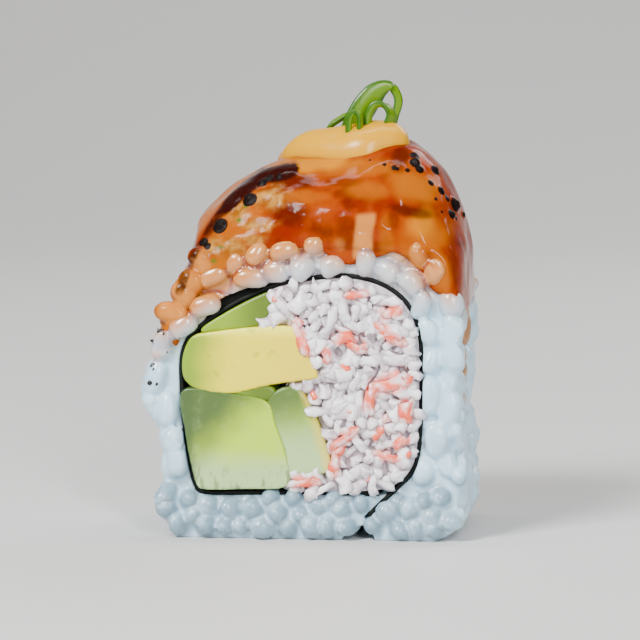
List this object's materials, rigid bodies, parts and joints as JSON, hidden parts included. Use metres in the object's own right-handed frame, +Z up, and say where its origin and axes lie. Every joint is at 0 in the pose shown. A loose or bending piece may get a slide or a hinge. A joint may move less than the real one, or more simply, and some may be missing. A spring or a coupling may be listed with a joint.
{
  "type": "uramaki roll",
  "caption": "Slice of an inside-out sushi roll with cucumber, avocado and crab, under a seared glazed topping with spicy mayo and scallion.",
  "frame": {"origin": "on the floor, at the middle of the slice's flat underside", "axes": "+Z up, -Y the shown cut face with the nori's seam at the lower right, +X to the right as seen from the front, where the topping is highest"},
  "size_m": [0.0431, 0.0273, 0.0599],
  "materials": {
    "rice": "moist, translucent",
    "nori": "satin",
    "cucumber": "wet cut",
    "avocado": "soft cut",
    "avocado_green": "soft cut",
    "crab": "moist",
    "seared": "glazed, gloss",
    "mayo": "smooth, satin",
    "scallion": "satin"
  },
  "bodies": {
    "root": {"rice": "rice", "nori": "nori", "cucumber_left": "cucumber", "cucumber_right": "cucumber", "avocado_slice": "avocado", "avocado_upper": "avocado_green", "avocado_sliver": "avocado_green", "crab_mix": "crab", "seared_topping": "seared", "spicy_mayo": "mayo", "scallion_blade": "scallion", "scallion_loop": "scallion", "scallion_arch": "scallion", "scallion_strip": "scallion"}
  },
  "joints": []
}
